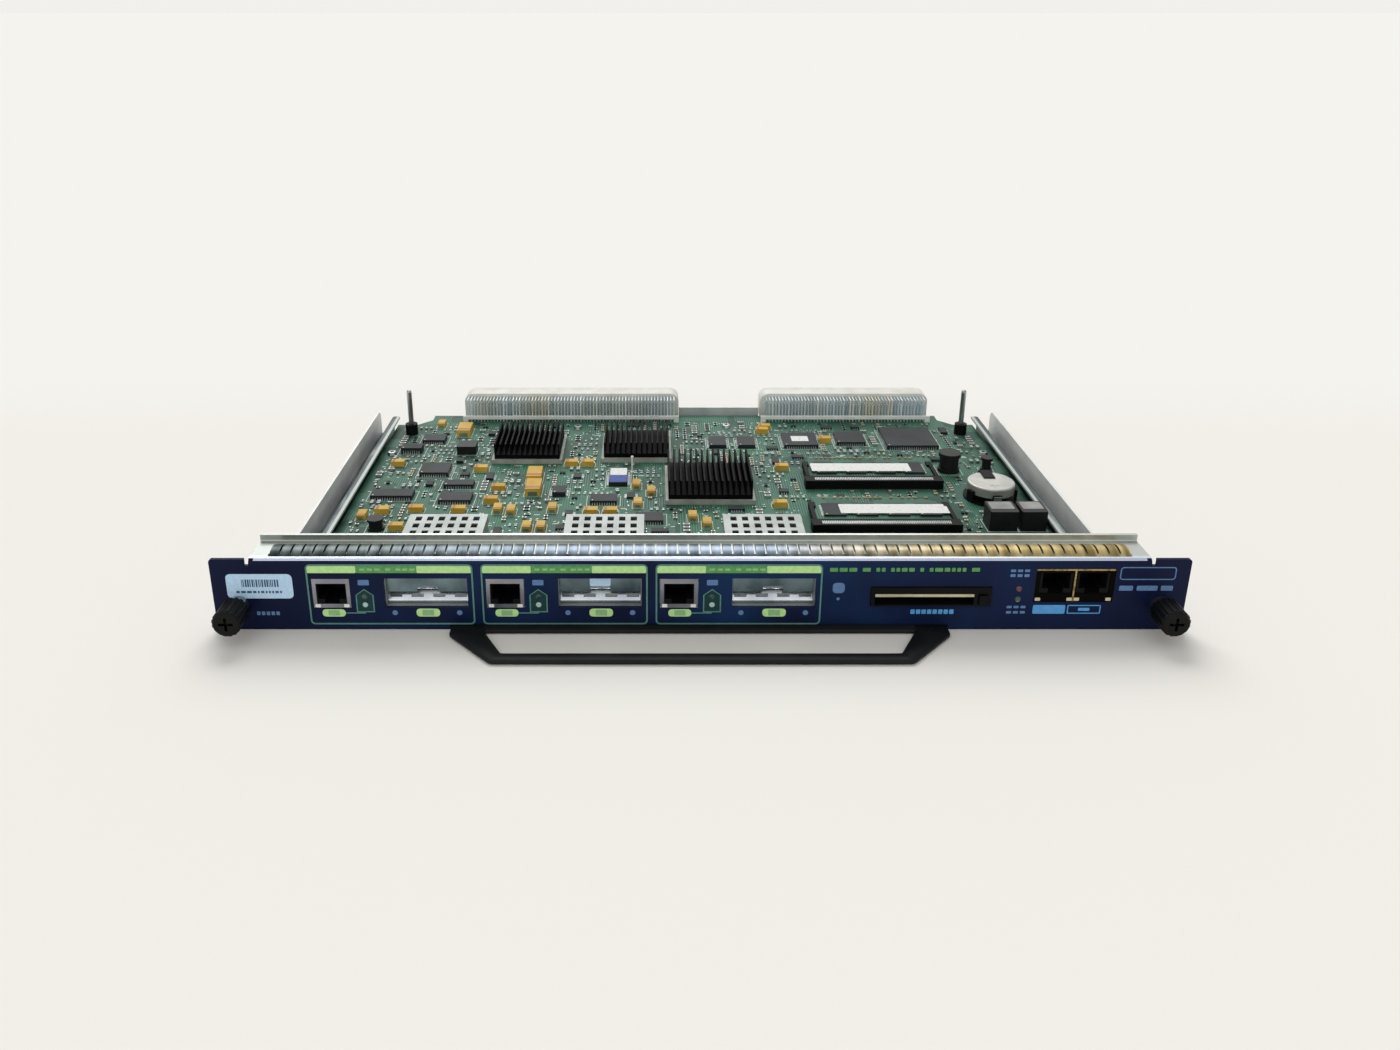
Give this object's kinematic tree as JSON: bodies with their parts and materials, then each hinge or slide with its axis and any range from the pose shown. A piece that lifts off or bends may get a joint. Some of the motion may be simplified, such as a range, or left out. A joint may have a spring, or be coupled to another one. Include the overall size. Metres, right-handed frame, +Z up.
{
  "type": "router processor module",
  "caption": "Plug-in network processor card: wide front panel of ports with captive screws and a pull handle, carrying a board with heat sinks, memory and backplane connectors.",
  "frame": {"origin": "under the middle of the module's box, on the surface it rests on", "axes": "+X to the right along the panel, +Y from the panel to the backplane connectors, +Z up"},
  "size_m": [0.42, 0.2784, 0.0385],
  "materials": {
    "panel_paint": "satin dark blue print on sheet steel",
    "zinc_steel": "zinc plated sheet",
    "spring_metal": "bright plated spring strip",
    "handle_black": "satin black powder coat",
    "screw_steel": "plated steel",
    "knob_black": "moulded black plastic",
    "board_green": "green solder mask on glass epoxy",
    "jack_metal": "tinned sheet",
    "black_plastic": "moulded black plastic",
    "cage_metal": "bright nickel plated sheet",
    "flap_metal": "dull plated sheet",
    "clear_lens": "clear moulded lens",
    "sink_black": "black anodised",
    "package_grey": "grey moulded package",
    "chip_black": "moulded epoxy",
    "tantalum_yellow": "moulded yellow case",
    "ferrite_black": "coated ferrite",
    "cell_steel": "bright steel can",
    "connector_beige": "moulded beige plastic",
    "pin_gold": "plated pins",
    "comb_white": "moulded white plastic"
  },
  "bodies": {
    "module": {"board_screws": "screw_steel", "board_standoffs": "screw_steel", "cage_connectors": "black_plastic", "cage_lid_1": "cage_metal", "cage_lid_2": "cage_metal", "cage_lid_3": "cage_metal", "card_slot": "black_plastic", "carrier_pan": "zinc_steel", "coin_cell": "cell_steel", "coin_cell_holder": "black_plastic", "connector_pins": "pin_gold", "console_insert": "black_plastic", "console_shield": "jack_metal", "finger_strip": "spring_metal", "front_panel": "panel_paint", "guide_posts": "screw_steel", "handle_screws": "screw_steel", "heat_sink_left": "sink_black", "heat_sink_middle": "sink_black", "heat_sink_right": "sink_black", "jack_insert_1": "black_plastic", "jack_insert_2": "black_plastic", "jack_insert_3": "black_plastic", "jack_shields": "jack_metal", "led_blocks": "black_plastic", "left_backplane_connector": "connector_beige", "left_rail": "zinc_steel", "light_pipes": "clear_lens", "logic_chips": "chip_black", "main_board": "board_green", "memory_chips": "chip_black", "memory_module_front": "board_green", "memory_module_rear": "board_green", "memory_socket_front": "black_plastic", "memory_socket_rear": "black_plastic", "pin_combs": "comb_white", "port_cage_1": "cage_metal", "port_cage_2": "cage_metal", "port_cage_3": "cage_metal", "port_sills": "spring_metal", "post_bases": "black_plastic", "power_coils": "ferrite_black", "processor_packages": "package_grey", "pull_handle": "handle_black", "rail_rivets": "zinc_steel", "right_backplane_connector": "connector_beige", "right_rail": "zinc_steel", "screw_ferrules": "screw_steel", "tantalum_capacitors": "tantalum_yellow"},
    "left_ring": {"left_retainer": "screw_steel"},
    "left_captive_screw": {"left_knob": "knob_black", "left_screw": "screw_steel"},
    "right_ring": {"right_retainer": "screw_steel"},
    "right_captive_screw": {"right_knob": "knob_black", "right_screw": "screw_steel"},
    "flap_1": {"port_flap_1": "flap_metal"},
    "flap_2": {"port_flap_2": "flap_metal"},
    "flap_3": {"port_flap_3": "flap_metal"},
    "card_button": {"eject_button": "black_plastic"}
  },
  "joints": [
    {"name": "left_screw_travel", "type": "slide", "parent": "module", "child": "left_ring", "axis": [0, 1, 0], "range_m": [0, 0.0046], "stiffness_N_per_m": 150},
    {"name": "left_screw_turn", "type": "hinge", "parent": "left_ring", "child": "left_captive_screw", "pos_m": [-0.199, -0.11075, 0.0125], "axis": [0, 1, 0], "continuous": true},
    {"name": "right_screw_travel", "type": "slide", "parent": "module", "child": "right_ring", "axis": [0, 1, 0], "range_m": [0, 0.0046], "stiffness_N_per_m": 150},
    {"name": "right_screw_turn", "type": "hinge", "parent": "right_ring", "child": "right_captive_screw", "pos_m": [0.199, -0.11075, 0.0125], "axis": [0, 1, 0], "continuous": true},
    {"name": "flap_1_swing", "type": "hinge", "parent": "module", "child": "flap_1", "pos_m": [-0.118, -0.10615, 0.0236], "axis": [1, 0, 0], "range_deg": [0, 85], "stiffness_Nm_per_rad": 0.004},
    {"name": "flap_2_swing", "type": "hinge", "parent": "module", "child": "flap_2", "pos_m": [-0.043, -0.10615, 0.0236], "axis": [1, 0, 0], "range_deg": [0, 85], "stiffness_Nm_per_rad": 0.004},
    {"name": "flap_3_swing", "type": "hinge", "parent": "module", "child": "flap_3", "pos_m": [0.032, -0.10615, 0.0236], "axis": [1, 0, 0], "range_deg": [0, 85], "stiffness_Nm_per_rad": 0.004},
    {"name": "card_button_travel", "type": "slide", "parent": "module", "child": "card_button", "axis": [0, -1, 0], "range_m": [0, 0.005]}
  ]
}
